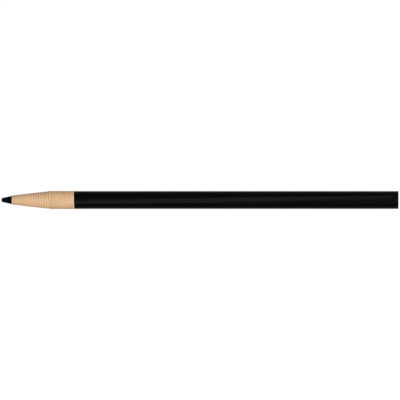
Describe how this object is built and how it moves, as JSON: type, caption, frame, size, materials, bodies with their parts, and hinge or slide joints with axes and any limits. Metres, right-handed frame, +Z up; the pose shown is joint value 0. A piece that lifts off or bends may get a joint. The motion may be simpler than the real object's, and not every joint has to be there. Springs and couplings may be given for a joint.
{
  "type": "china marker",
  "caption": "Round peel-off china marker: a wax core wound in plies of paper, with a stepped paper point, a front coil that comes off to bare more wax and a pull string.",
  "frame": {"origin": "under the middle of the marker, on the surface that it lies on", "axes": "+X along the marker from the writing tip to the flat rear end, +Z up"},
  "size_m": [0.177, 0.008, 0.008],
  "materials": {
    "wax": "satin",
    "kraft_paper": "matte",
    "black_lacquer": "satin",
    "cotton": "matte"
  },
  "bodies": {
    "marker": {"wax_core": "wax", "pull_string": "cotton", "paper_ply_01": "kraft_paper", "paper_ply_02": "kraft_paper", "paper_ply_03": "kraft_paper", "paper_ply_04": "kraft_paper", "paper_ply_05": "kraft_paper", "paper_ply_06": "kraft_paper", "paper_ply_07": "kraft_paper", "paper_ply_08": "kraft_paper", "paper_ply_09": "kraft_paper", "paper_ply_10": "kraft_paper", "paper_ply_11": "kraft_paper", "paper_ply_12": "kraft_paper", "paper_ply_13": "kraft_paper", "paper_ply_14": "kraft_paper", "paper_ply_15": "kraft_paper", "paper_ply_16": "kraft_paper", "paper_ply_17": "kraft_paper", "paper_ply_18": "kraft_paper", "jacket": "black_lacquer"},
    "peel_coil": {"front_coil": "kraft_paper"}
  },
  "joints": [
    {"name": "front_coil_peel", "type": "slide", "parent": "marker", "child": "peel_coil", "axis": [-1, 0, 0], "range_m": [0, 0.034]}
  ]
}
